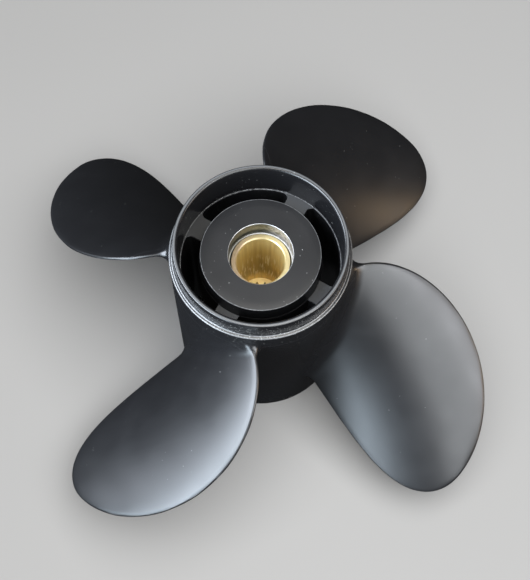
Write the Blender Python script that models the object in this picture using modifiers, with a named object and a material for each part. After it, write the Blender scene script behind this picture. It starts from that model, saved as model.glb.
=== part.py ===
# Four-blade boat propeller with its exhaust passages through the hub.
#
# Metres, +Z up.  The origin is the centre of the aft rim, on which the propeller
# stands, and +Z runs along the shaft axis to the forward end of the hub.
# The real thing is one aluminium casting, with a rubber bush pressed into it
# and a splined brass sleeve bonded inside the bush.
import math

import bmesh
import bpy
from mathutils import Vector

MM = 0.001
TOUCH_GAP = 0.3 * MM
CUT_MARGIN = 1.5 * MM
MERGE_DISTANCE = 0.01 * MM
TURN_STEPS = 72
ARC_STEP = math.radians(46)
SMOOTH_ANGLE = math.radians(35)

# Barrel, the outer tube of the hub
HUB_LENGTH = 146.7 * MM
RIM_RADIUS = 51.1 * MM
RIM_WALL = 2.9 * MM
RIM_ROUND = 0.8 * MM
RIM_INNER_ROUND = 1.2 * MM
COLLAR_RADIUS = 51.6 * MM
COLLAR_FILLET = 1.3 * MM
SHOULDER_RADIUS = 54.0 * MM
SHOULDER_DEPTH = 12.8 * MM
SHOULDER_SLOPE = 0.3 * MM
SHOULDER_ROUND = 0.9 * MM
AFT_RADIUS = 55.1 * MM
AFT_INNER_RADIUS = 50.6 * MM
AFT_ROUND = 0.9 * MM
STEP_RADIUS = 48.1 * MM
STEP_DEPTH = 25.5 * MM

# Inner hub, webs and the passages between them
PASSAGE_OUTER_RADIUS = 47.5 * MM
PASSAGE_CORNER = 3.2 * MM
PASSAGE_STEPS = 12
CORNER_STEPS = 4
DISK_RADIUS = 35.7 * MM
DISK_DEPTH = 14.7 * MM
DISK_ROUND = 0.4 * MM
INNER_HUB_RADIUS = 37.2 * MM
INNER_HUB_AFT = 22.0 * MM
MOUTH_RADIUS = 19.3 * MM
MOUTH_CHAMFER = 0.25 * MM
MOUTH_DEPTH = 28.0 * MM
BUSH_BORE_RADIUS = 27.3 * MM
WEB_COUNT = 4
WEB_WIDTH = 14.6 * MM
WEB_AZIMUTH = math.radians(60)

# Splined sleeve
SLEEVE_RADIUS = 17.7 * MM
SLEEVE_FRONT_DEPTH = 25.6 * MM
SLEEVE_AFT = 20.0 * MM
SLEEVE_MOUTH_RADIUS = 14.6 * MM
SLEEVE_MOUTH_CHAMFER = 0.7 * MM
SLEEVE_TAPER_RADIUS = 13.5 * MM
SPLINE_TOP_DEPTH = 84.9 * MM
SPLINE_COUNT = 12
SPLINE_AZIMUTH = math.radians(12)
SPLINE_CREST_RADIUS = 9.0 * MM
SPLINE_ROOT_RADIUS = 10.6 * MM
SPLINE_HEAD = 0.10
SPLINE_FOOT = 0.32

# Blades: a helical mean surface, its outline given as radius and wrap angle
BLADE_COUNT = 4
BLADE_AZIMUTH = math.radians(-85.3)
BLADE_PITCH = 523.0 * MM
BLADE_RAKE = math.radians(16.2)
BLADE_TOP_DEPTH = 10.9 * MM
ROOT_RADIUS = 52.0 * MM
TIP_RADIUS = 168.9 * MM
LEADING_OUTLINE = (
    (ROOT_RADIUS, math.radians(-10.8)),
    (72.5 * MM, math.radians(5.3)),
    (138.3 * MM, math.radians(-13.4)),
    (TIP_RADIUS, math.radians(-32.0)),
    (TIP_RADIUS, math.radians(-45.5)),
)
TRAILING_OUTLINE = (
    (ROOT_RADIUS, math.radians(-60.1)),
    (105.1 * MM, math.radians(-59.4)),
    (122.4 * MM, math.radians(-59.2)),
    (TIP_RADIUS, math.radians(-57.7)),
    (TIP_RADIUS, math.radians(-45.5)),
)
ROOT_HALF_THICKNESS = 4.2 * MM
TIP_HALF_THICKNESS = 1.3 * MM
EDGE_HALF_THICKNESS = 0.8 * MM
BLADE_CAMBER_SHARE = 0.03
FOIL_POWER = 0.75
ROOT_FILLET = 9.0 * MM
FILLET_DIP = 0.1 * MM
FILLET_ROWS = 6
FILLET_SHARE = 0.14
SPAN_ROWS = 14
TIP_ROWS = 4
TIP_SHARE = 0.08
CHORD_COLUMNS = 11
EDGE_STRIP_SHARE = 0.2
OUTLINE_STEPS = 100


def make_collection(name):
    collection = bpy.data.collections.new(name)
    bpy.context.scene.collection.children.link(collection)
    return collection


def make_material(name, color, roughness, metallic):
    material = bpy.data.materials.new(name)
    material.use_nodes = True
    shader = material.node_tree.nodes["Principled BSDF"]
    shader.inputs["Base Color"].default_value = (*color, 1.0)
    shader.inputs["Roughness"].default_value = roughness
    shader.inputs["Metallic"].default_value = metallic
    return material


def add_object(name, mesh, collection, material=None):
    obj = bpy.data.objects.new(name, mesh)
    collection.objects.link(obj)
    if material is not None:
        mesh.materials.append(material)
    return obj


def mark_as_helper(obj):
    obj.hide_render = True
    obj.display_type = "WIRE"


def rounded_corner(before, corner, after, radius):
    """Points of the arc that rounds one corner of a flat outline."""
    into = (before - corner).normalized()
    out = (after - corner).normalized()
    half_angle = into.angle(out) / 2
    center = corner + (into + out).normalized() * radius / math.sin(half_angle)
    start = corner + into * radius / math.tan(half_angle) - center
    end = corner + out * radius / math.tan(half_angle) - center
    steps = math.ceil(start.angle(end) / ARC_STEP)
    return [center + radius * start.slerp(end, step / steps) for step in range(steps + 1)]


def add_turned(name, corners, collection, material):
    """Turn a closed profile of (radius, height, rounding) about Z; it runs down its outer side."""
    outline = []
    for i, (radius, height, rounding) in enumerate(corners):
        corner = Vector((radius, height))
        if rounding == 0:
            outline.append(corner)
            continue
        before = Vector(corners[i - 1][:2])
        after = Vector(corners[(i + 1) % len(corners)][:2])
        outline.extend(rounded_corner(before, corner, after, rounding))
    mesh = bpy.data.meshes.new(name)
    points = [(point.x, 0.0, point.y) for point in outline]
    edges = [(i, (i + 1) % len(points)) for i in range(len(points))]
    mesh.from_pydata(points, edges, [])
    obj = add_object(name, mesh, collection, material)
    screw = obj.modifiers.new("turn", "SCREW")
    screw.steps = TURN_STEPS
    screw.render_steps = TURN_STEPS
    screw.use_merge_vertices = True
    screw.merge_threshold = MERGE_DISTANCE
    return obj


def add_boolean(obj, operand, operation):
    boolean = obj.modifiers.new(operation.lower(), "BOOLEAN")
    boolean.operation = operation
    boolean.object = operand
    boolean.solver = "EXACT"


def bake_and_shade(obj):
    """Apply the modifiers, smooth the round surfaces and keep the real edges sharp."""
    evaluated = obj.evaluated_get(bpy.context.evaluated_depsgraph_get())
    mesh = bpy.data.meshes.new_from_object(evaluated)
    obj.modifiers.clear()
    obj.data = mesh
    mesh.shade_smooth()
    mesh.set_sharp_from_angle(angle=SMOOTH_ANGLE)


def bezier(points, t):
    """Point at t on the Bezier curve of any degree, as (radius, wrap angle)."""
    row = [Vector(point) for point in points]
    while len(row) > 1:
        row = [a.lerp(b, t) for a, b in zip(row, row[1:])]
    return row[0]


def blade_point(radius, wrap, azimuth, offset=0.0):
    """Point forward of the helical mean surface by an offset that is measured on its cylinder."""
    pitch_angle = math.atan2(BLADE_PITCH, math.tau * radius)
    angle = azimuth + wrap - offset * math.sin(pitch_angle) / radius
    height = HUB_LENGTH - BLADE_TOP_DEPTH + BLADE_PITCH * wrap / math.tau
    height += offset * math.cos(pitch_angle) - math.tan(BLADE_RAKE) * (radius - ROOT_RADIUS)
    return Vector((radius * math.cos(angle), radius * math.sin(angle), height))


def root_fillet(radius, height):
    """Extra half thickness where the blade meets the barrel, which widens a little aft."""
    barrel = AFT_RADIUS + (SHOULDER_RADIUS - AFT_RADIUS) * height / (HUB_LENGTH - SHOULDER_DEPTH)
    rise = min(max(radius - barrel + FILLET_DIP, 0.0), ROOT_FILLET)
    return ROOT_FILLET - math.sqrt(ROOT_FILLET**2 - (ROOT_FILLET - rise) ** 2)


def half_thickness(radius, chord_share, edge_distance, fillet):
    """Half the blade's thickness: a foil section with round edges."""
    span_share = (radius - ROOT_RADIUS) / (TIP_RADIUS - ROOT_RADIUS)
    middle = ROOT_HALF_THICKNESS + (TIP_HALF_THICKNESS - ROOT_HALF_THICKNESS) * span_share
    foil = (4 * chord_share * (1 - chord_share)) ** FOIL_POWER
    full = EDGE_HALF_THICKNESS + (middle - EDGE_HALF_THICKNESS) * foil
    nose = min(edge_distance / (EDGE_HALF_THICKNESS + fillet), 1.0)
    return (full + fillet) * math.sqrt(1 - (1 - nose) ** 2)


def span_stations():
    """Curve parameters from the root to the tip, close together at the fillet and the tip."""
    fillet = [FILLET_SHARE * (i / FILLET_ROWS) ** 1.5 for i in range(FILLET_ROWS)]
    body_share = 1 - FILLET_SHARE - TIP_SHARE
    body = [FILLET_SHARE + body_share * i / SPAN_ROWS for i in range(SPAN_ROWS)]
    tip = [1 - TIP_SHARE * (1 - i / TIP_ROWS) for i in range(TIP_ROWS)]
    return fillet + body + tip


def chord_shares(chord):
    """Shares of the chord from leading to trailing edge, with a narrow strip at each edge."""
    strip = min(EDGE_HALF_THICKNESS / chord, EDGE_STRIP_SHARE)
    inner = [strip + (1 - 2 * strip) * i / CHORD_COLUMNS for i in range(CHORD_COLUMNS + 1)]
    return [0.0] + inner + [1.0]


def blade_edges(t, azimuth):
    """Both ends of one row, moved apart by the root fillet, and the chord between the real edges."""
    leading = bezier(LEADING_OUTLINE, t)
    trailing = bezier(TRAILING_OUTLINE, t)
    front = blade_point(*leading, azimuth)
    back = blade_point(*trailing, azimuth)
    chord = max((front - back).length, MM)
    front_share = root_fillet(leading[0], front.z) / chord
    back_share = root_fillet(trailing[0], back.z) / chord
    return leading.lerp(trailing, -front_share), trailing.lerp(leading, -back_share), chord


def blade_row(t, azimuth, outline):
    """Forward and aft points of one row across the blade, from edge to edge."""
    leading, trailing, chord = blade_edges(t, azimuth)
    forward = []
    aft = []
    for share in chord_shares(chord):
        radius, wrap = leading.lerp(trailing, share)
        middle = blade_point(radius, wrap, azimuth)
        edge_distance = min((middle - point).length for point in outline)
        if share in (0.0, 1.0):
            edge_distance = 0.0
        half = half_thickness(radius, share, edge_distance, root_fillet(radius, middle.z))
        camber = chord * BLADE_CAMBER_SHARE * 4 * share * (1 - share)
        forward.append(blade_point(radius, wrap, azimuth, camber + half))
        aft.append(blade_point(radius, wrap, azimuth, camber - half))
    return forward, aft


def blade_outline(azimuth):
    """Points along both edges of the blade, widened by the root fillet."""
    points = []
    for i in range(OUTLINE_STEPS + 1):
        leading, trailing, chord = blade_edges(i / OUTLINE_STEPS, azimuth)
        points.append(blade_point(*leading, azimuth))
        points.append(blade_point(*trailing, azimuth))
    return points


def add_blade(name, azimuth, collection):
    """Loft the blade from its root, inside the barrel's wall, to its tip."""
    outline = blade_outline(azimuth)
    mesh = bpy.data.meshes.new(name)
    bm = bmesh.new()
    rows = []
    for t in span_stations():
        forward, aft = blade_row(t, azimuth, outline)
        upper = [bm.verts.new(point) for point in forward]
        lower = [upper[0]] + [bm.verts.new(point) for point in aft[1:-1]] + [upper[-1]]
        rows.append((upper, lower))
    for (upper, lower), (next_upper, next_lower) in zip(rows, rows[1:]):
        for i in range(len(upper) - 1):
            bm.faces.new((upper[i], upper[i + 1], next_upper[i + 1], next_upper[i]))
            bm.faces.new((lower[i + 1], lower[i], next_lower[i], next_lower[i + 1]))
    tip = bm.verts.new(blade_point(*bezier(LEADING_OUTLINE, 1.0), azimuth))
    upper, lower = rows[-1]
    for i in range(len(upper) - 1):
        bm.faces.new((upper[i], upper[i + 1], tip))
        bm.faces.new((lower[i + 1], lower[i], tip))
    upper, lower = rows[0]
    bm.faces.new((upper[0], lower[1], upper[1]))
    bm.faces.new((upper[-1], upper[-2], lower[-2]))
    for i in range(1, len(upper) - 2):
        bm.faces.new((upper[i], lower[i], lower[i + 1], upper[i + 1]))
    bmesh.ops.recalc_face_normals(bm, faces=bm.faces)
    bm.to_mesh(mesh)
    bm.free()
    blade = add_object(name, mesh, collection)
    mark_as_helper(blade)
    return blade


def arc(center, radius, start, end, steps):
    """Points of an arc in plan, both ends included."""
    angles = [start + (end - start) * i / steps for i in range(steps + 1)]
    return [center + radius * Vector((math.cos(angle), math.sin(angle))) for angle in angles]


def add_prism(name, outline, low, high, collection):
    """Upright cutter with the given outline in plan."""
    mesh = bpy.data.meshes.new(name)
    bm = bmesh.new()
    floor = bm.faces.new([bm.verts.new((point.x, point.y, low)) for point in outline])
    walls = bmesh.ops.extrude_face_region(bm, geom=[floor])
    lifted = [item for item in walls["geom"] if isinstance(item, bmesh.types.BMVert)]
    bmesh.ops.translate(bm, verts=lifted, vec=(0, 0, high - low))
    bmesh.ops.recalc_face_normals(bm, faces=bm.faces)
    bm.to_mesh(mesh)
    bm.free()
    prism = add_object(name, mesh, collection)
    mark_as_helper(prism)
    return prism


def passage_outline():
    """One exhaust passage in plan, centred on the X axis, with round outer corners."""
    axis = Vector((0.0, 0.0))
    half_web = WEB_WIDTH / 2
    web_angle = math.pi / WEB_COUNT
    inner_angle = web_angle - math.asin(half_web / INNER_HUB_RADIUS)
    corner_orbit = PASSAGE_OUTER_RADIUS - PASSAGE_CORNER
    corner_angle = web_angle - math.asin((half_web + PASSAGE_CORNER) / corner_orbit)
    corner = corner_orbit * Vector((math.cos(corner_angle), math.sin(corner_angle)))
    facing_web = web_angle + math.pi / 2
    upper = arc(corner, PASSAGE_CORNER, corner_angle, facing_web, CORNER_STEPS)
    lower = [Vector((point.x, -point.y)) for point in reversed(upper)]
    outer = arc(axis, PASSAGE_OUTER_RADIUS, -corner_angle, corner_angle, PASSAGE_STEPS)
    inner = arc(axis, INNER_HUB_RADIUS, inner_angle, -inner_angle, PASSAGE_STEPS)
    return inner + lower + outer[1:-1] + upper


def spline_outline():
    """Star of spline grooves in plan, each one narrower at its root."""
    tooth = math.tau / SPLINE_COUNT
    inside = SPLINE_CREST_RADIUS - CUT_MARGIN
    groove = ((-SPLINE_FOOT, inside), (-SPLINE_HEAD, SPLINE_ROOT_RADIUS),
              (SPLINE_HEAD, SPLINE_ROOT_RADIUS), (SPLINE_FOOT, inside))
    points = []
    for i in range(SPLINE_COUNT):
        for share, radius in groove:
            angle = SPLINE_AZIMUTH + (i + share) * tooth
            points.append(radius * Vector((math.cos(angle), math.sin(angle))))
    return points


def casting_corners():
    """Half section of the barrel, webs and inner hub, before the passages are cut."""
    top = HUB_LENGTH
    shoulder = top - SHOULDER_DEPTH
    step = top - STEP_DEPTH
    disk = top - DISK_DEPTH
    mouth = top - MOUTH_DEPTH
    return (
        (RIM_RADIUS, top, RIM_ROUND),
        (COLLAR_RADIUS, shoulder + SHOULDER_SLOPE, COLLAR_FILLET),
        (SHOULDER_RADIUS, shoulder, SHOULDER_ROUND),
        (AFT_RADIUS, 0.0, AFT_ROUND),
        (AFT_INNER_RADIUS, 0.0, AFT_ROUND),
        (PASSAGE_OUTER_RADIUS, INNER_HUB_AFT, 0.0),
        (INNER_HUB_RADIUS, INNER_HUB_AFT, 0.0),
        (BUSH_BORE_RADIUS, INNER_HUB_AFT, 0.0),
        (BUSH_BORE_RADIUS, mouth, 0.0),
        (MOUTH_RADIUS, mouth, 0.0),
        (MOUTH_RADIUS, disk - MOUTH_CHAMFER, 0.0),
        (MOUTH_RADIUS + MOUTH_CHAMFER, disk, 0.0),
        (DISK_RADIUS, disk, DISK_ROUND),
        (INNER_HUB_RADIUS, step, 0.0),
        (STEP_RADIUS, step, 0.0),
        (RIM_RADIUS - RIM_WALL, top, RIM_INNER_ROUND),
    )


def add_casting(parts, helpers, material):
    casting = add_turned("propeller_casting", casting_corners(), parts, material)
    low = INNER_HUB_AFT - CUT_MARGIN
    high = HUB_LENGTH - STEP_DEPTH + CUT_MARGIN
    for i in range(WEB_COUNT):
        passage = add_prism(f"exhaust_passage_{i + 1}", passage_outline(), low, high, helpers)
        passage.rotation_euler.z = WEB_AZIMUTH + math.tau * (i + 0.5) / WEB_COUNT
        add_boolean(casting, passage, "DIFFERENCE")
    for i in range(BLADE_COUNT):
        azimuth = BLADE_AZIMUTH + math.tau * i / BLADE_COUNT
        blade = add_blade(f"blade_{i + 1}", azimuth, helpers)
        add_boolean(casting, blade, "UNION")
    return casting


def add_bush(parts, material):
    """Rubber bush between the casting's bore and the sleeve."""
    front = HUB_LENGTH - MOUTH_DEPTH - TOUCH_GAP
    outer = BUSH_BORE_RADIUS - TOUCH_GAP
    inner = SLEEVE_RADIUS + TOUCH_GAP
    corners = (
        (outer, front, 0.0),
        (outer, INNER_HUB_AFT, 0.0),
        (inner, INNER_HUB_AFT, 0.0),
        (inner, front, 0.0),
    )
    return add_turned("rubber_bush", corners, parts, material)


def sleeve_corners():
    front = HUB_LENGTH - SLEEVE_FRONT_DEPTH
    spline_top = HUB_LENGTH - SPLINE_TOP_DEPTH
    return (
        (SLEEVE_RADIUS, front, 0.0),
        (SLEEVE_RADIUS, SLEEVE_AFT, 0.0),
        (SPLINE_CREST_RADIUS, SLEEVE_AFT, 0.0),
        (SPLINE_CREST_RADIUS, spline_top, 0.0),
        (SLEEVE_TAPER_RADIUS, spline_top, 0.0),
        (SLEEVE_MOUTH_RADIUS, front - SLEEVE_MOUTH_CHAMFER, 0.0),
        (SLEEVE_MOUTH_RADIUS + SLEEVE_MOUTH_CHAMFER, front, 0.0),
    )


def add_sleeve(parts, helpers, material):
    sleeve = add_turned("spline_sleeve", sleeve_corners(), parts, material)
    low = SLEEVE_AFT - CUT_MARGIN
    high = HUB_LENGTH - SPLINE_TOP_DEPTH + CUT_MARGIN
    grooves = add_prism("spline_grooves", spline_outline(), low, high, helpers)
    add_boolean(sleeve, grooves, "DIFFERENCE")
    return sleeve


def main():
    for obj in list(bpy.data.objects):
        bpy.data.objects.remove(obj, do_unlink=True)
    parts = make_collection("boat_propeller")
    helpers = make_collection("cutters")
    painted = make_material("black_paint", (0.03, 0.031, 0.034), 0.4, 0.0)
    rubber = make_material("black_rubber", (0.02, 0.02, 0.02), 0.7, 0.0)
    brass = make_material("turned_brass", (0.72, 0.53, 0.22), 0.28, 1.0)
    pieces = [
        add_casting(parts, helpers, painted),
        add_bush(parts, rubber),
        add_sleeve(parts, helpers, brass),
    ]
    for piece in pieces:
        bake_and_shade(piece)


main()
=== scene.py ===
# Looks of the boat propeller: fine casting, rubber bush, brass sleeve, floor, light and camera.
#
# Metres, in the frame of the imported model: origin at the centre of the hub's aft rim,
# +Z along the shaft axis to the forward end of the hub.
import math

import bmesh
import bpy
from mathutils import Matrix, Vector, noise


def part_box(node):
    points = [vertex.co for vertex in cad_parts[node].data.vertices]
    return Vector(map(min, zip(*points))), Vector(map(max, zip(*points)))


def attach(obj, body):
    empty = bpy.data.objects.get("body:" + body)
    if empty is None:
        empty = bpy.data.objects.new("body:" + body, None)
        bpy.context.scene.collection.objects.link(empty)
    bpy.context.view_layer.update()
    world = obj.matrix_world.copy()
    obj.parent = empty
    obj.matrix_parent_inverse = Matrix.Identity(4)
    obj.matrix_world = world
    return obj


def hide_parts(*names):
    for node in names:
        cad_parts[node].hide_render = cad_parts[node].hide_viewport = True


MM = 0.001
TURN_STEPS = 180
ARC_STEP = math.radians(18)
MERGE_DISTANCE = 0.005 * MM
SMOOTH_ANGLE = math.radians(32)
TOUCH_GAP = 0.3 * MM
CUT_MARGIN = 1.5 * MM

# Barrel, the outer tube of the hub
RIM_RADIUS = 51.1 * MM
RIM_WALL = 2.9 * MM
RIM_ROUND = 0.8 * MM
RIM_INNER_ROUND = 1.2 * MM
COLLAR_RADIUS = 51.6 * MM
COLLAR_FILLET = 1.3 * MM
SHOULDER_RADIUS = 54.0 * MM
SHOULDER_DEPTH = 12.8 * MM
SHOULDER_SLOPE = 0.3 * MM
SHOULDER_ROUND = 0.9 * MM
AFT_RADIUS = 55.1 * MM
AFT_INNER_RADIUS = 50.6 * MM
AFT_ROUND = 0.9 * MM
WALL_ROWS = 24
STEP_RADIUS = 48.1 * MM
STEP_DEPTH = 25.5 * MM

# Inner hub, webs and the passages between them
PASSAGE_OUTER_RADIUS = 47.5 * MM
PASSAGE_CORNER = 3.2 * MM
PASSAGE_CHAMFER = 0.4 * MM
DISK_RADIUS = 35.7 * MM
DISK_DEPTH = 14.7 * MM
INNER_HUB_RADIUS = 37.2 * MM
INNER_HUB_AFT = 22.0 * MM
MOUTH_RADIUS = 19.3 * MM
MOUTH_CHAMFER = 0.25 * MM
MOUTH_DEPTH = 28.0 * MM
MOUTH_LIP = 0.7 * MM
MOUTH_LIP_DEPTH = 27.0 * MM
BUSH_BORE_RADIUS = 27.3 * MM
WEB_COUNT = 4
WEB_WIDTH = 14.6 * MM
WEB_AZIMUTH = math.radians(60)

# Splined sleeve
SLEEVE_FRONT_DEPTH = 25.6 * MM
SLEEVE_MOUTH_RADIUS = 14.6 * MM
SLEEVE_MOUTH_CHAMFER = 0.7 * MM
SLEEVE_TAPER_RADIUS = 13.5 * MM
SPLINE_TOP_DEPTH = 84.9 * MM
SPLINE_COUNT = 12
SPLINE_AZIMUTH = math.radians(12)
SPLINE_CREST_RADIUS = 9.0 * MM
SPLINE_ROOT_RADIUS = 10.6 * MM
SPLINE_HEAD = 0.10
SPLINE_FOOT = 0.32

# Blades: a helical mean surface, its outline given as radius and wrap angle
BLADE_COUNT = 4
BLADE_AZIMUTH = math.radians(-85.3)
BLADE_PITCH = 523.0 * MM
BLADE_RAKE = math.radians(16.2)
BLADE_TOP_DEPTH = 10.9 * MM
ROOT_RADIUS = 52.0 * MM
TIP_RADIUS = 168.9 * MM
LEADING_OUTLINE = (
    (ROOT_RADIUS, math.radians(-10.8)),
    (72.5 * MM, math.radians(5.3)),
    (138.3 * MM, math.radians(-13.4)),
    (TIP_RADIUS, math.radians(-32.0)),
    (TIP_RADIUS, math.radians(-45.5)),
)
TRAILING_OUTLINE = (
    (ROOT_RADIUS, math.radians(-60.1)),
    (105.1 * MM, math.radians(-59.4)),
    (122.4 * MM, math.radians(-59.2)),
    (TIP_RADIUS, math.radians(-57.7)),
    (TIP_RADIUS, math.radians(-45.5)),
)
ROOT_HALF_THICKNESS = 4.2 * MM
TIP_HALF_THICKNESS = 1.3 * MM
EDGE_HALF_THICKNESS = 0.8 * MM
BLADE_CAMBER_SHARE = 0.03
ROOT_FILLET = 9.0 * MM
FILLET_DIP = 0.04 * MM
FILLET_SHARE = 0.14
FILLET_ROWS = 16
SPAN_ROWS = 34
TIP_SHARE = 0.08
TIP_ROWS = 8
CHORD_COLUMNS = 34
EDGE_COLUMNS = 5
OUTLINE_STEPS = 400

# Camera and light
CAMERA_PLACE = Vector((0.0, -235.7 * MM, 668.5 * MM))
CAMERA_PITCH = math.radians(68.37)
CAMERA_YAW = math.radians(0.27)
CAMERA_ROLL = math.radians(0.66)
CAMERA_LENS_MM = 61.9
LIGHT_DISTANCE = 1.5
FLOOR_RADIUS = 3.0
SWEEP_RADIUS = 2.5
SWEEP_STEPS = 16

# Edges with a lighter grey ring, partly worn paint and partly a painted highlight of the rounded edge: radius, depth
# below the rim, width, grey and patchiness
WORN_AND_HIGHLIGHT_EDGES = (
    (STEP_RADIUS, STEP_DEPTH, 0.45 * MM, 0.30, 1.0),
    (DISK_RADIUS, DISK_DEPTH, 0.45 * MM, 0.30, 0.6),
    (RIM_RADIUS - 1.1 * MM, 0.0, 0.9 * MM, 0.12, 0.0),
    (SHOULDER_RADIUS - 0.3 * MM, SHOULDER_DEPTH, 0.7 * MM, 0.20, 0.4),
    (COLLAR_RADIUS + 0.6 * MM, SHOULDER_DEPTH - SHOULDER_SLOPE, 0.6 * MM, 0.16, 0.6),
)


def rounded_corner(before, corner, after, radius):
    """Points of the arc that rounds one corner of a flat outline."""
    into = (before - corner).normalized()
    out = (after - corner).normalized()
    half_angle = into.angle(out) / 2
    center = corner + (into + out).normalized() * radius / math.sin(half_angle)
    start = corner + into * radius / math.tan(half_angle) - center
    end = corner + out * radius / math.tan(half_angle) - center
    steps = math.ceil(start.angle(end) / ARC_STEP)
    return [center + radius * start.slerp(end, step / steps) for step in range(steps + 1)]


def rounded_profile(corners):
    """Closed outline through (radius, height, rounding) corners, with its long runs divided."""
    outline = []
    for i, (radius, height, rounding) in enumerate(corners):
        corner = Vector((radius, height))
        if rounding == 0:
            outline.append(corner)
            continue
        before = Vector(corners[i - 1][:2])
        after = Vector(corners[(i + 1) % len(corners)][:2])
        outline.extend(rounded_corner(before, corner, after, rounding))
    points = []
    for point, following in zip(outline, outline[1:] + outline[:1]):
        rows = math.ceil((following - point).length / HUB_LENGTH * WALL_ROWS)
        points.extend(point.lerp(following, row / rows) for row in range(rows))
    return points


def add_object(name, mesh, material=None):
    obj = bpy.data.objects.new(name, mesh)
    bpy.context.scene.collection.objects.link(obj)
    if material is not None:
        mesh.materials.append(material)
    return obj


def add_turned(name, corners, material=None):
    """Turn a closed profile about Z; it runs down its outer side."""
    mesh = bpy.data.meshes.new(name)
    points = rounded_profile(corners)
    edges = [(i, (i + 1) % len(points)) for i in range(len(points))]
    mesh.from_pydata([(point.x, 0.0, point.y) for point in points], edges, [])
    obj = add_object(name, mesh, material)
    screw = obj.modifiers.new("turn", "SCREW")
    screw.steps = TURN_STEPS
    screw.render_steps = TURN_STEPS
    screw.use_merge_vertices = True
    screw.merge_threshold = MERGE_DISTANCE
    return obj


def add_boolean(obj, operand, operation):
    boolean = obj.modifiers.new(operation.lower(), "BOOLEAN")
    boolean.operation = operation
    boolean.object = operand
    boolean.solver = "EXACT"


def bake_and_shade(obj, helpers=()):
    """Apply the modifiers, drop the cutters, smooth round surfaces and keep real edges."""
    evaluated = obj.evaluated_get(bpy.context.evaluated_depsgraph_get())
    mesh = bpy.data.meshes.new_from_object(evaluated)
    obj.modifiers.clear()
    obj.data = mesh
    for helper in helpers:
        bpy.data.objects.remove(helper, do_unlink=True)
    mesh.shade_smooth()
    mesh.set_sharp_from_angle(angle=SMOOTH_ANGLE)


def bezier(points, t):
    """Point at t on the Bezier curve of any degree, as (radius, wrap angle)."""
    row = [Vector(point) for point in points]
    while len(row) > 1:
        row = [a.lerp(b, t) for a, b in zip(row, row[1:])]
    return row[0]


def blade_point(radius, wrap, azimuth, offset=0.0):
    """Point forward of the helical mean surface by an offset that is measured on its cylinder."""
    pitch_angle = math.atan2(BLADE_PITCH, math.tau * radius)
    angle = azimuth + wrap - offset * math.sin(pitch_angle) / radius
    height = HUB_LENGTH - BLADE_TOP_DEPTH + BLADE_PITCH * wrap / math.tau
    height += offset * math.cos(pitch_angle) - math.tan(BLADE_RAKE) * (radius - ROOT_RADIUS)
    return Vector((radius * math.cos(angle), radius * math.sin(angle), height))


def root_fillet(radius, height):
    """Extra half thickness where the blade meets the barrel, which widens a little aft."""
    barrel = AFT_RADIUS + (SHOULDER_RADIUS - AFT_RADIUS) * height / (HUB_LENGTH - SHOULDER_DEPTH)
    rise = min(max(radius - barrel + FILLET_DIP, 0.0), ROOT_FILLET)
    return ROOT_FILLET - math.sqrt(ROOT_FILLET**2 - (ROOT_FILLET - rise) ** 2)


def half_thickness(radius, chord_share, edge_distance, fillet):
    """Half the blade's thickness: a foil section with round edges."""
    span_share = (radius - ROOT_RADIUS) / (TIP_RADIUS - ROOT_RADIUS)
    middle = ROOT_HALF_THICKNESS + (TIP_HALF_THICKNESS - ROOT_HALF_THICKNESS) * span_share
    foil = (4 * chord_share * (1 - chord_share)) ** 0.75
    full = EDGE_HALF_THICKNESS + (middle - EDGE_HALF_THICKNESS) * foil
    nose = min(edge_distance / (EDGE_HALF_THICKNESS + fillet), 1.0)
    return (full + fillet) * math.sqrt(1 - (1 - nose) ** 2)


def span_stations():
    """Curve parameters from the root to the tip, close together at the fillet and the tip."""
    fillet = [FILLET_SHARE * (i / FILLET_ROWS) ** 1.5 for i in range(FILLET_ROWS)]
    body_share = 1 - FILLET_SHARE - TIP_SHARE
    body = [FILLET_SHARE + body_share * i / SPAN_ROWS for i in range(SPAN_ROWS)]
    tip = [1 - TIP_SHARE * (1 - i / TIP_ROWS) for i in range(TIP_ROWS)]
    return fillet + body + tip


def chord_shares(chord, nose):
    """Shares of the chord from leading to trailing edge, close together at each edge."""
    strip = min(nose / chord, 0.25)
    edge = [strip * (1 - math.cos(math.pi / 2 * i / EDGE_COLUMNS)) for i in range(EDGE_COLUMNS)]
    inner = [strip + (1 - 2 * strip) * i / CHORD_COLUMNS for i in range(CHORD_COLUMNS + 1)]
    return edge + inner + [1 - share for share in reversed(edge)]


def blade_edges(t, azimuth):
    """Both ends of one row, moved apart by the root fillet, and the chord between the real edges."""
    leading = bezier(LEADING_OUTLINE, t)
    trailing = bezier(TRAILING_OUTLINE, t)
    front = blade_point(*leading, azimuth)
    back = blade_point(*trailing, azimuth)
    chord = max((front - back).length, MM)
    front_fillet = root_fillet(leading[0], front.z)
    back_fillet = root_fillet(trailing[0], back.z)
    wide_leading = leading.lerp(trailing, -front_fillet / chord)
    wide_trailing = trailing.lerp(leading, -back_fillet / chord)
    return wide_leading, wide_trailing, chord, front_fillet


def blade_row(t, azimuth, outline):
    """Forward and aft points of one row across the blade, from edge to edge."""
    leading, trailing, chord, edge_fillet = blade_edges(t, azimuth)
    forward = []
    aft = []
    for share in chord_shares(chord, EDGE_HALF_THICKNESS + edge_fillet):
        radius, wrap = leading.lerp(trailing, share)
        middle = blade_point(radius, wrap, azimuth)
        edge_distance = min((middle - point).length for point in outline)
        if share in (0.0, 1.0):
            edge_distance = 0.0
        half = half_thickness(radius, share, edge_distance, root_fillet(radius, middle.z))
        camber = chord * BLADE_CAMBER_SHARE * 4 * share * (1 - share)
        forward.append(blade_point(radius, wrap, azimuth, camber + half))
        aft.append(blade_point(radius, wrap, azimuth, camber - half))
    return forward, aft


def blade_outline(azimuth):
    """Points along both edges of the blade, widened by the root fillet."""
    points = []
    for i in range(OUTLINE_STEPS + 1):
        leading, trailing, _, _ = blade_edges(i / OUTLINE_STEPS, azimuth)
        points.append(blade_point(*leading, azimuth))
        points.append(blade_point(*trailing, azimuth))
    return points


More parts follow.
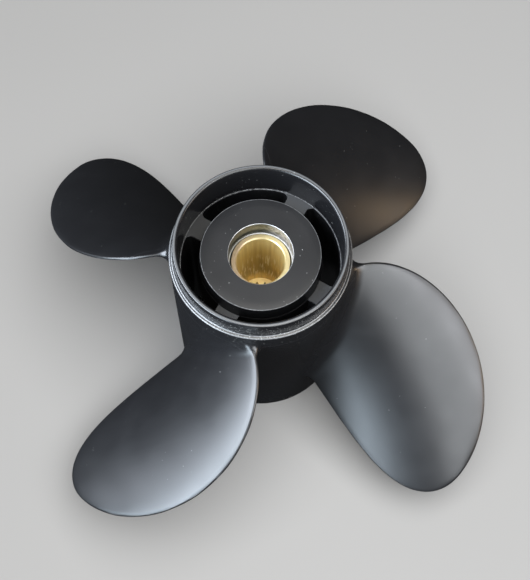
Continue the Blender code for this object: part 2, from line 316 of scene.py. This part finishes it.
def add_blade(name, azimuth):
    """Loft the blade from its root, inside the barrel's wall, to its tip."""
    outline = blade_outline(azimuth)
    mesh = bpy.data.meshes.new(name)
    bm = bmesh.new()
    rows = []
    for t in span_stations():
        forward, aft = blade_row(t, azimuth, outline)
        upper = [bm.verts.new(point) for point in forward]
        lower = [upper[0]] + [bm.verts.new(point) for point in aft[1:-1]] + [upper[-1]]
        rows.append((upper, lower))
    for (upper, lower), (next_upper, next_lower) in zip(rows, rows[1:]):
        for i in range(len(upper) - 1):
            bm.faces.new((upper[i], upper[i + 1], next_upper[i + 1], next_upper[i]))
            bm.faces.new((lower[i + 1], lower[i], next_lower[i], next_lower[i + 1]))
    tip = bm.verts.new(blade_point(*bezier(LEADING_OUTLINE, 1.0), azimuth))
    upper, lower = rows[-1]
    for i in range(len(upper) - 1):
        bm.faces.new((upper[i], upper[i + 1], tip))
        bm.faces.new((lower[i + 1], lower[i], tip))
    upper, lower = rows[0]
    bm.faces.new((upper[0], lower[1], upper[1]))
    bm.faces.new((upper[-1], upper[-2], lower[-2]))
    for i in range(1, len(upper) - 2):
        bm.faces.new((upper[i], lower[i], lower[i + 1], upper[i + 1]))
    bmesh.ops.recalc_face_normals(bm, faces=bm.faces)
    bm.to_mesh(mesh)
    bm.free()
    return add_object(name, mesh)


def arc(center, radius, start, end, steps):
    """Points of an arc in plan, both ends included."""
    angles = [start + (end - start) * i / steps for i in range(steps + 1)]
    return [center + radius * Vector((math.cos(angle), math.sin(angle))) for angle in angles]


def add_prism(name, layers):
    """Upright cutter lofted through (height, outline) layers of equal point counts."""
    mesh = bpy.data.meshes.new(name)
    bm = bmesh.new()
    rings = [[bm.verts.new((p.x, p.y, height)) for p in outline] for height, outline in layers]
    bm.faces.new(rings[0])
    bm.faces.new(rings[-1])
    for low, high in zip(rings, rings[1:]):
        for i in range(len(low)):
            after = (i + 1) % len(low)
            bm.faces.new((low[i], low[after], high[after], high[i]))
    bmesh.ops.recalc_face_normals(bm, faces=bm.faces)
    bm.to_mesh(mesh)
    bm.free()
    return add_object(name, mesh)


def passage_outline(grow):
    """One exhaust passage in plan, centred on the X axis, with round outer corners."""
    axis = Vector((0.0, 0.0))
    half_web = WEB_WIDTH / 2 - grow
    outer_radius = PASSAGE_OUTER_RADIUS + grow
    inner_radius = INNER_HUB_RADIUS - grow
    corner_radius = PASSAGE_CORNER + grow
    web_angle = math.pi / WEB_COUNT
    inner_angle = web_angle - math.asin(half_web / inner_radius)
    corner_orbit = outer_radius - corner_radius
    corner_angle = web_angle - math.asin((half_web + corner_radius) / corner_orbit)
    corner = corner_orbit * Vector((math.cos(corner_angle), math.sin(corner_angle)))
    facing_web = web_angle + math.pi / 2
    upper = arc(corner, corner_radius, corner_angle, facing_web, 10)
    lower = [Vector((point.x, -point.y)) for point in reversed(upper)]
    outer = arc(axis, outer_radius, -corner_angle, corner_angle, 30)
    inner = arc(axis, inner_radius, inner_angle, -inner_angle, 30)
    return inner + lower + outer[1:-1] + upper


def add_passage(name):
    """Cutter of one exhaust passage, chamfered where it breaks out at both ends."""
    low = INNER_HUB_AFT
    high = HUB_LENGTH - STEP_DEPTH
    wide = PASSAGE_CHAMFER + CUT_MARGIN
    return add_prism(name, (
        (low - CUT_MARGIN, passage_outline(wide)),
        (low + PASSAGE_CHAMFER, passage_outline(0.0)),
        (high - PASSAGE_CHAMFER, passage_outline(0.0)),
        (high + CUT_MARGIN, passage_outline(wide)),
    ))


def spline_outline():
    """Star of spline grooves in plan, each one narrower at its root."""
    tooth = math.tau / SPLINE_COUNT
    inside = SPLINE_CREST_RADIUS - CUT_MARGIN
    groove = ((-SPLINE_FOOT, inside), (-SPLINE_HEAD, SPLINE_ROOT_RADIUS),
              (SPLINE_HEAD, SPLINE_ROOT_RADIUS), (SPLINE_FOOT, inside))
    points = []
    for i in range(SPLINE_COUNT):
        for share, radius in groove:
            angle = SPLINE_AZIMUTH + (i + share) * tooth
            points.append(radius * Vector((math.cos(angle), math.sin(angle))))
    return points


def casting_corners():
    """Half section of the barrel, webs and inner hub, with a fillet at each corner."""
    top = HUB_LENGTH
    shoulder = top - SHOULDER_DEPTH
    step = top - STEP_DEPTH
    disk = top - DISK_DEPTH
    mouth = top - MOUTH_DEPTH
    lip = top - MOUTH_LIP_DEPTH
    return (
        (RIM_RADIUS, top, RIM_ROUND),
        (COLLAR_RADIUS, shoulder + SHOULDER_SLOPE, COLLAR_FILLET),
        (SHOULDER_RADIUS, shoulder, SHOULDER_ROUND),
        (AFT_RADIUS, 0.0, AFT_ROUND),
        (AFT_INNER_RADIUS, 0.0, AFT_ROUND),
        (PASSAGE_OUTER_RADIUS, INNER_HUB_AFT, 0.0),
        (BUSH_BORE_RADIUS, INNER_HUB_AFT, 0.6 * MM),
        (BUSH_BORE_RADIUS, mouth, 0.3 * MM),
        (MOUTH_RADIUS - MOUTH_LIP, mouth, 0.0),
        (MOUTH_RADIUS - MOUTH_LIP, lip - MOUTH_LIP, 0.0),
        (MOUTH_RADIUS, lip, 0.0),
        (MOUTH_RADIUS, disk - MOUTH_CHAMFER, 0.0),
        (MOUTH_RADIUS + MOUTH_CHAMFER, disk, 0.0),
        (DISK_RADIUS, disk, 0.35 * MM),
        (INNER_HUB_RADIUS, step, 0.0),
        (STEP_RADIUS, step, 0.0),
        (RIM_RADIUS - RIM_WALL, top, RIM_INNER_ROUND),
    )


def add_casting(paint, bare):
    casting = add_turned("casting", casting_corners(), paint)
    helpers = []
    for i in range(WEB_COUNT):
        passage = add_passage(f"passage_{i + 1}")
        passage.rotation_euler.z = WEB_AZIMUTH + math.tau * (i + 0.5) / WEB_COUNT
        add_boolean(casting, passage, "DIFFERENCE")
        helpers.append(passage)
    for i in range(BLADE_COUNT):
        azimuth = BLADE_AZIMUTH + math.tau * i / BLADE_COUNT
        blade = add_blade(f"blade_{i + 1}", azimuth)
        add_boolean(casting, blade, "UNION")
        helpers.append(blade)
    bpy.context.view_layer.update()
    bake_and_shade(casting, helpers)
    casting.data.materials.append(bare)
    for face in casting.data.polygons:
        center = face.center
        in_mouth = math.hypot(center.x, center.y) < MOUTH_RADIUS + MOUTH_CHAMFER
        if in_mouth and center.z > HUB_LENGTH - MOUTH_DEPTH:
            face.material_index = 1
    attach(casting, "root")
    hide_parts("propeller_casting")
    return casting


def add_bush(rubber):
    """Rubber bush, with a small radius at its edges."""
    low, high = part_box("rubber_bush")
    outer = BUSH_BORE_RADIUS - TOUCH_GAP
    inner = SLEEVE_RADIUS + TOUCH_GAP
    corners = (
        (outer, high[2], 0.8 * MM),
        (outer, low[2], 0.8 * MM),
        (inner, low[2], 0.4 * MM),
        (inner, high[2], 0.4 * MM),
    )
    bush = add_turned("bush", corners, rubber)
    bake_and_shade(bush)
    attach(bush, "root")
    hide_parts("rubber_bush")
    return bush


def add_sleeve(brass):
    """Brass sleeve: chamfered mouth, smooth taper, ledge and splines."""
    low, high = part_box("spline_sleeve")
    front = high[2]
    spline_top = HUB_LENGTH - SPLINE_TOP_DEPTH
    corners = (
        (SLEEVE_RADIUS, front, 0.2 * MM),
        (SLEEVE_RADIUS, low[2], 0.5 * MM),
        (SPLINE_CREST_RADIUS, low[2], 0.0),
        (SPLINE_CREST_RADIUS, spline_top, 0.0),
        (SLEEVE_TAPER_RADIUS, spline_top, 0.0),
        (SLEEVE_MOUTH_RADIUS, front - SLEEVE_MOUTH_CHAMFER, 0.0),
        (SLEEVE_MOUTH_RADIUS + SLEEVE_MOUTH_CHAMFER, front, 0.0),
    )
    sleeve = add_turned("sleeve", corners, brass)
    outline = spline_outline()
    grooves = add_prism("grooves", ((low[2] - CUT_MARGIN, outline), (spline_top + CUT_MARGIN, outline)))
    add_boolean(sleeve, grooves, "DIFFERENCE")
    bake_and_shade(sleeve, [grooves])
    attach(sleeve, "root")
    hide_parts("spline_sleeve")
    return sleeve


class Nodes:
    """Short way to write a material's node tree."""

    def __init__(self, name):
        self.material = bpy.data.materials.new(name)
        self.material.use_nodes = True
        self.tree = self.material.node_tree
        self.shader = self.tree.nodes["Principled BSDF"]
        self.place = self.tree.nodes.new("ShaderNodeTexCoord").outputs["Object"]

    def link(self, source, target):
        self.tree.links.new(source, target)

    def fill(self, socket, value):
        if isinstance(value, bpy.types.NodeSocket):
            self.link(value, socket)
        else:
            socket.default_value = value

    def math(self, operation, a, b=0.0, c=0.0):
        node = self.tree.nodes.new("ShaderNodeMath")
        node.operation = operation
        for socket, value in zip(node.inputs, (a, b, c)):
            self.fill(socket, value)
        return node.outputs[0]

    def noise(self, scale, detail=2.0, place=None):
        node = self.tree.nodes.new("ShaderNodeTexNoise")
        node.inputs["Scale"].default_value = scale
        node.inputs["Detail"].default_value = detail
        self.link(place or self.place, node.inputs["Vector"])
        return node.outputs["Fac"]

    def stretch(self, scale):
        node = self.tree.nodes.new("ShaderNodeMapping")
        node.inputs["Scale"].default_value = scale
        self.link(self.place, node.inputs["Vector"])
        return node.outputs["Vector"]

    def remap(self, value, low, high, to_low=0.0, to_high=1.0):
        node = self.tree.nodes.new("ShaderNodeMapRange")
        for socket, number in zip(node.inputs, (value, low, high, to_low, to_high)):
            self.fill(socket, number)
        return node.outputs["Result"]

    def mix(self, share, a, b):
        node = self.tree.nodes.new("ShaderNodeMix")
        node.data_type = "RGBA"
        self.fill(node.inputs["Factor"], share)
        for socket, value in zip((node.inputs[6], node.inputs[7]), (a, b)):
            self.fill(socket, value)
        return node.outputs[2]

    def cells(self, scale):
        """Distance to the nearest scattered point, and two random numbers for that point."""
        node = self.tree.nodes.new("ShaderNodeTexVoronoi")
        node.inputs["Scale"].default_value = scale
        self.link(self.place, node.inputs["Vector"])
        split = self.tree.nodes.new("ShaderNodeSeparateColor")
        self.link(node.outputs["Color"], split.inputs["Color"])
        return node.outputs["Distance"], split.outputs["Red"], split.outputs["Green"]

    def coordinates(self):
        """Height and distance from the shaft axis of the shaded point."""
        split = self.tree.nodes.new("ShaderNodeSeparateXYZ")
        self.link(self.place, split.inputs["Vector"])
        across = self.math("MULTIPLY", split.outputs["X"], split.outputs["X"])
        square = self.math("MULTIPLY_ADD", split.outputs["Y"], split.outputs["Y"], across)
        return split.outputs["Z"], self.math("SQRT", square)

    def near_ring(self, radius, height, width):
        """One on a circle round the shaft axis, and nothing further than width from it."""
        z, r = self.coordinates()
        across = self.math("SUBTRACT", r, radius)
        along = self.math("SUBTRACT", z, height)
        square = self.math("MULTIPLY_ADD", across, across, self.math("MULTIPLY", along, along))
        return self.remap(self.math("SQRT", square), 0.0, width, 1.0, 0.0)

    def bump(self, height, distance, strength=1.0):
        node = self.tree.nodes.new("ShaderNodeBump")
        node.inputs["Strength"].default_value = strength
        node.inputs["Distance"].default_value = distance
        self.link(height, node.inputs["Height"])
        self.link(node.outputs["Normal"], self.shader.inputs["Normal"])


def dust_density(nodes):
    """Share of the cells that hold a speck: sparse everywhere, dense on the collar's front."""
    height, radius = nodes.coordinates()
    split = nodes.tree.nodes.new("ShaderNodeSeparateXYZ")
    nodes.link(nodes.place, split.inputs["Vector"])
    facing = nodes.remap(split.outputs["Y"], -16 * MM, -50 * MM)
    facing = nodes.math("MULTIPLY", facing, facing)
    below_rim = nodes.remap(height, HUB_LENGTH - 2 * MM, HUB_LENGTH - 4 * MM)
    near_shoulder = nodes.remap(height, HUB_LENGTH - 3 * MM, HUB_LENGTH - 11 * MM, 0.35, 1.0)
    collar = nodes.math("MULTIPLY", nodes.remap(height, HUB_LENGTH - 14 * MM, HUB_LENGTH - 13 * MM),
                        nodes.remap(radius, 50 * MM, 50.5 * MM))
    collar = nodes.math("MULTIPLY", collar, nodes.math("MULTIPLY", below_rim, near_shoulder))
    dense = nodes.math("MULTIPLY", collar, nodes.math("MULTIPLY_ADD", facing, 0.55, 0.05))
    recess = nodes.math("MULTIPLY", nodes.remap(radius, 50 * MM, 49 * MM), below_rim)
    recess = nodes.math("MULTIPLY", recess, 0.13)
    below = nodes.remap(height, HUB_LENGTH - 40 * MM, HUB_LENGTH - 14 * MM)
    below = nodes.math("MULTIPLY", below, nodes.remap(radius, 66 * MM, 54 * MM))
    below = nodes.math("MULTIPLY", below, nodes.math("MULTIPLY_ADD", facing, 0.45, 0.04))
    below = nodes.math("MULTIPLY", below, nodes.remap(radius, 50 * MM, 50.5 * MM))
    below = nodes.math("MULTIPLY", below, below_rim)
    sparse = nodes.math("ADD", nodes.math("MAXIMUM", recess, below), 0.014)
    return sparse, dense


def paint_material():
    """Satin black paint with a faint orange peel, edges lightened by wear and by painted highlights, and scattered
    dust.
    """
    nodes = Nodes("satin_black_paint")
    height, radius = nodes.coordinates()
    cloud = nodes.noise(18.0, 3.0)
    color = nodes.mix(cloud, (0.006, 0.006, 0.0065, 1.0), (0.010, 0.010, 0.011, 1.0))
    on_web = nodes.math("COMPARE", height, HUB_LENGTH - STEP_DEPTH, 0.05 * MM)
    color = nodes.mix(on_web, color, (0.034, 0.035, 0.037, 1.0))
    patches = nodes.remap(nodes.noise(700.0, 3.0), 0.3, 0.6)
    # Lighter grey rings at the edges: partly worn paint, partly painted highlights of the rounded edges.
    for ring, depth, width, shade, patchy in WORN_AND_HIGHLIGHT_EDGES:
        wear_and_highlight = nodes.near_ring(ring, HUB_LENGTH - depth, width)
        even = nodes.remap(patches, 0.0, 1.0, 1.0 - patchy, 1.0)
        color = nodes.mix(nodes.math("MULTIPLY", wear_and_highlight, even), color, (shade, shade, shade, 1.0))
    sparse, dense = dust_density(nodes)
    for scale, size, density in ((520.0, 0.14, sparse), (330.0, 0.10, sparse), (1300.0, 0.34, dense)):
        distance, chance, strength = nodes.cells(scale)
        speck = nodes.remap(distance, size, size * 0.4)
        kept = nodes.math("LESS_THAN", chance, density)
        shown = nodes.math("MULTIPLY", nodes.math("MULTIPLY", speck, kept), nodes.remap(strength, 0.0, 1.0, 0.15, 1.0))
        color = nodes.mix(shown, color, (0.50, 0.50, 0.48, 1.0))
    nodes.link(color, nodes.shader.inputs["Base Color"])
    on_barrel = nodes.math("MULTIPLY", nodes.remap(radius, 62 * MM, 56 * MM), nodes.remap(radius, 47 * MM, 48 * MM))
    nodes.shader.inputs["Specular IOR Level"].default_value = 0.7
    roughness = nodes.remap(nodes.noise(55.0, 4.0), 0.3, 0.7, 0.32, 0.38)
    roughness = nodes.math("MULTIPLY_ADD", on_barrel, -0.10, roughness)
    roughness = nodes.math("MULTIPLY_ADD", on_web, 0.22, roughness)
    nodes.link(roughness, nodes.shader.inputs["Roughness"])
    nodes.bump(nodes.noise(1200.0, 2.0), 0.012 * MM)
    return nodes.material


def bare_metal_material():
    """Dull dark wall of the bore's mouth, its olive tint a painted dim reflection of the brass, with a chamfer edge
    lightened by wear and a painted highlight, a painted highlight line at the lip's foot and a painted pale reflection
    on the +X side.
    """
    nodes = Nodes("machined_mouth")
    split = nodes.tree.nodes.new("ShaderNodeSeparateXYZ")
    nodes.link(nodes.place, split.inputs["Vector"])
    lines = nodes.noise(1.0, 2.0, nodes.stretch((30.0, 30.0, 900.0)))
    # The olive tint of the wall's colour is a painted dim reflection of the brass sleeve.
    color = nodes.mix(nodes.remap(lines, 0.35, 0.65), (0.03, 0.032, 0.024, 1.0), (0.075, 0.078, 0.06, 1.0))
    cloud = nodes.remap(nodes.noise(300.0, 3.0), 0.35, 0.6)
    # The pale patch on the +X side is a painted reflection of the window light, less metallic where it shows.
    painted_reflection = nodes.math("MULTIPLY", nodes.remap(split.outputs["X"], 1 * MM, 13 * MM), cloud)
    color = nodes.mix(painted_reflection, color, (0.30, 0.28, 0.29, 1.0))
    metallic = nodes.remap(painted_reflection, 0.0, 1.0, 0.5, 0.2)
    # The lighter grey ring at the mouth's chamfer is partly worn paint and partly a painted highlight.
    rim = nodes.near_ring(MOUTH_RADIUS + MOUTH_CHAMFER / 2, HUB_LENGTH - DISK_DEPTH, 0.4 * MM)
    color = nodes.mix(nodes.math("GREATER_THAN", rim, 0.4), color, (0.50, 0.50, 0.50, 1.0))
    # The near-white, less metallic ring at the lip's foot is a painted highlight.
    painted_foot_highlight = nodes.near_ring(MOUTH_RADIUS - MOUTH_LIP / 2, HUB_LENGTH - MOUTH_LIP_DEPTH - MOUTH_LIP / 2, MOUTH_LIP)
    painted_foot_highlight = nodes.math("GREATER_THAN", painted_foot_highlight, 0.4)
    color = nodes.mix(painted_foot_highlight, color, (0.92, 0.92, 0.90, 1.0))
    nodes.link(color, nodes.shader.inputs["Base Color"])
    nodes.link(nodes.math("MULTIPLY_ADD", painted_foot_highlight, -0.3, metallic), nodes.shader.inputs["Metallic"])
    nodes.link(nodes.remap(lines, 0.3, 0.7, 0.26, 0.36), nodes.shader.inputs["Roughness"])
    nodes.bump(lines, 0.02 * MM)
    return nodes.material


def rubber_material():
    nodes = Nodes("bush_rubber")
    grain = nodes.noise(900.0, 3.0)
    color = nodes.mix(grain, (0.004, 0.004, 0.004, 1.0), (0.012, 0.012, 0.012, 1.0))
    nodes.link(color, nodes.shader.inputs["Base Color"])
    nodes.link(nodes.remap(grain, 0.3, 0.7, 0.6, 0.75), nodes.shader.inputs["Roughness"])
    nodes.bump(grain, 0.05 * MM)
    return nodes.material


def brass_material():
    """Brass with a turned front face, and streaks and short scratches along its bore; painted shade darkens the face's
    left side and the bore deep down, and a painted highlight brightens the ledge.
    """
    nodes = Nodes("sleeve_brass")
    height, radius = nodes.coordinates()
    split = nodes.tree.nodes.new("ShaderNodeSeparateXYZ")
    nodes.link(nodes.place, split.inputs["Vector"])
    streaks = nodes.noise(1.0, 3.0, nodes.stretch((600.0, 600.0, 20.0)))
    streaks = nodes.remap(streaks, 0.35, 0.65)
    # Darker, browner brass deep in the bore is painted shade.
    depth = nodes.remap(height, HUB_LENGTH - SPLINE_TOP_DEPTH, HUB_LENGTH - 50 * MM)
    deep = nodes.mix(streaks, (0.42, 0.28, 0.08, 1.0), (0.62, 0.44, 0.15, 1.0))
    upper = nodes.mix(streaks, (0.78, 0.62, 0.26, 1.0), (0.90, 0.75, 0.34, 1.0))
    color = nodes.mix(depth, deep, upper)
    scratches = nodes.remap(nodes.noise(1.0, 1.0, nodes.stretch((1100.0, 1100.0, 90.0))), 0.58, 0.64)
    low = nodes.math("MULTIPLY", nodes.remap(height, HUB_LENGTH - 80 * MM, HUB_LENGTH - 72 * MM),
                     nodes.remap(height, HUB_LENGTH - 45 * MM, HUB_LENGTH - 55 * MM))
    scratches = nodes.math("MULTIPLY", scratches, low)
    color = nodes.mix(scratches, color, (1.0, 0.90, 0.62, 1.0))
    # The ledge's lighter, less metallic colour is a painted highlight.
    on_ledge = nodes.math("COMPARE", height, HUB_LENGTH - SPLINE_TOP_DEPTH, 0.05 * MM)
    color = nodes.mix(on_ledge, color, (1.0, 0.82, 0.42, 1.0))
    # The face's darker, browner left side (towards -X) is painted shade from the mouth wall.
    painted_left_shade = nodes.remap(split.outputs["X"], 2 * MM, -13 * MM)
    face_color = nodes.mix(painted_left_shade, (0.72, 0.60, 0.32, 1.0), (0.56, 0.43, 0.28, 1.0))
    face = nodes.math("GREATER_THAN", height, HUB_LENGTH - SLEEVE_FRONT_DEPTH - 1 * MM)
    color = nodes.mix(face, color, face_color)
    nodes.link(color, nodes.shader.inputs["Base Color"])
    metallic = nodes.math("MULTIPLY_ADD", scratches, -0.5, 0.78)
    metallic = nodes.math("MULTIPLY_ADD", face, 0.12, metallic)
    nodes.link(nodes.math("MULTIPLY_ADD", on_ledge, -0.3, metallic), nodes.shader.inputs["Metallic"])
    roughness = nodes.remap(streaks, 0.0, 1.0, 0.40, 0.50)
    nodes.link(nodes.math("MULTIPLY_ADD", face, -0.05, roughness), nodes.shader.inputs["Roughness"])
    nodes.bump(streaks, 0.02 * MM)
    return nodes.material


def add_camera():
    data = bpy.data.cameras.new("camera")
    data.lens = CAMERA_LENS_MM
    camera = bpy.data.objects.new("camera", data)
    bpy.context.scene.collection.objects.link(camera)
    tilt = Matrix.Rotation(math.pi / 2 - CAMERA_PITCH, 4, "X")
    yaw = Matrix.Rotation(-CAMERA_YAW, 4, "Y")
    roll = Matrix.Rotation(CAMERA_ROLL, 4, "Z")
    camera.matrix_world = Matrix.Translation(CAMERA_PLACE) @ tilt @ yaw @ roll
    bpy.context.scene.camera = camera


def add_light(name, pieces, azimuth, elevation, width, height, radiance, color=(1.0, 1.0, 1.0)):
    """Soft box that lights the given pieces; its place and size are angles as seen from the hub."""
    data = bpy.data.lights.new(name, "AREA")
    data.shape = "RECTANGLE"
    data.size = 2 * LIGHT_DISTANCE * math.tan(math.radians(width) / 2)
    data.size_y = 2 * LIGHT_DISTANCE * math.tan(math.radians(height) / 2)
    data.energy = radiance * math.pi * data.size * data.size_y
    data.color = color
    light = bpy.data.objects.new(name, data)
    bpy.context.scene.collection.objects.link(light)
    light.visible_camera = False
    lit = bpy.data.collections.new(f"lit_by_{name}")
    for piece in pieces:
        lit.objects.link(piece)
    light.light_linking.receiver_collection = lit
    azimuth = math.radians(azimuth)
    elevation = math.radians(elevation)
    direction = Vector((
        math.cos(azimuth) * math.cos(elevation),
        math.sin(azimuth) * math.cos(elevation),
        math.sin(elevation),
    ))
    light.location = direction * LIGHT_DISTANCE + Vector((0, 0, HUB_LENGTH / 2))
    light.rotation_euler = direction.to_track_quat("Z", "Y").to_euler()


def add_floor():
    """Pale studio sweep: a flat floor that rises all round, kept out of the paint's reflections."""
    nodes = Nodes("pale_floor")
    tone = nodes.mix(nodes.noise(3.0), (0.60, 0.60, 0.595, 1.0), (0.64, 0.64, 0.635, 1.0))
    nodes.link(tone, nodes.shader.inputs["Base Color"])
    nodes.shader.inputs["Roughness"].default_value = 0.7
    steps = [math.radians(90) * i / SWEEP_STEPS for i in range(SWEEP_STEPS + 1)]
    profile = [(0.0, 0.0)]
    for angle in steps:
        out = FLOOR_RADIUS + SWEEP_RADIUS * math.sin(angle)
        profile.append((out, SWEEP_RADIUS * (1 - math.cos(angle))))
    mesh = bpy.data.meshes.new("floor")
    edges = [(i, i + 1) for i in range(len(profile) - 1)]
    mesh.from_pydata([(out, 0.0, up) for out, up in profile], edges, [])
    floor = add_object("floor", mesh, nodes.material)
    screw = floor.modifiers.new("turn", "SCREW")
    screw.steps = TURN_STEPS
    screw.render_steps = TURN_STEPS
    screw.use_merge_vertices = True
    screw.merge_threshold = MERGE_DISTANCE
    screw.use_smooth_shade = True
    floor.visible_glossy = False
    return floor


def add_world():
    world = bpy.data.worlds.new("studio")
    world.use_nodes = True
    world.node_tree.nodes["Background"].inputs["Color"].default_value = (0.5, 0.52, 0.55, 1.0)
    world.node_tree.nodes["Background"].inputs["Strength"].default_value = 0.04
    bpy.context.scene.world = world


bpy.context.scene.view_settings.view_transform = "Standard"
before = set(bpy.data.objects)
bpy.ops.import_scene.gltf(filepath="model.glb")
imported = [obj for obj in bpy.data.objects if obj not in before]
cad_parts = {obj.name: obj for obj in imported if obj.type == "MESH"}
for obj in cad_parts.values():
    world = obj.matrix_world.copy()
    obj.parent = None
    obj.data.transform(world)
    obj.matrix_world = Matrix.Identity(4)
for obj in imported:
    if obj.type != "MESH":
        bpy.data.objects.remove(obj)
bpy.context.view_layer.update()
HUB_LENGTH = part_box("propeller_casting")[1][2]
SLEEVE_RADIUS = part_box("spline_sleeve")[1][0]

add_camera()
add_world()
floor = add_floor()
casting = add_casting(paint_material(), bare_metal_material())
bush = add_bush(rubber_material())
sleeve = add_sleeve(brass_material())
propeller = (casting, bush, sleeve)
add_light("window", propeller, -168, 42, 60, 37, 14.0, (0.81, 0.89, 1.0))
add_light("low_window", propeller, -136, 15, 40, 30, 9.2, (0.74, 0.88, 1.0))
add_light("front", propeller, -56, 36, 44, 30, 5.6, (0.93, 0.97, 1.0))
add_light("side", propeller, -23, 30, 32, 36, 4.4, (0.94, 0.95, 1.0))
add_light("low_warm", propeller, -15, 8, 36, 14, 3.1, (1.0, 0.66, 0.33))
add_light("overhead", propeller, -47, 82, 30, 36, 4.9, (1.0, 0.98, 0.93))
add_light("bore", (sleeve,), -90, 84, 10, 10, 5.0)
add_light("sweep", (floor,), -60, 75, 70, 70, 2.6)
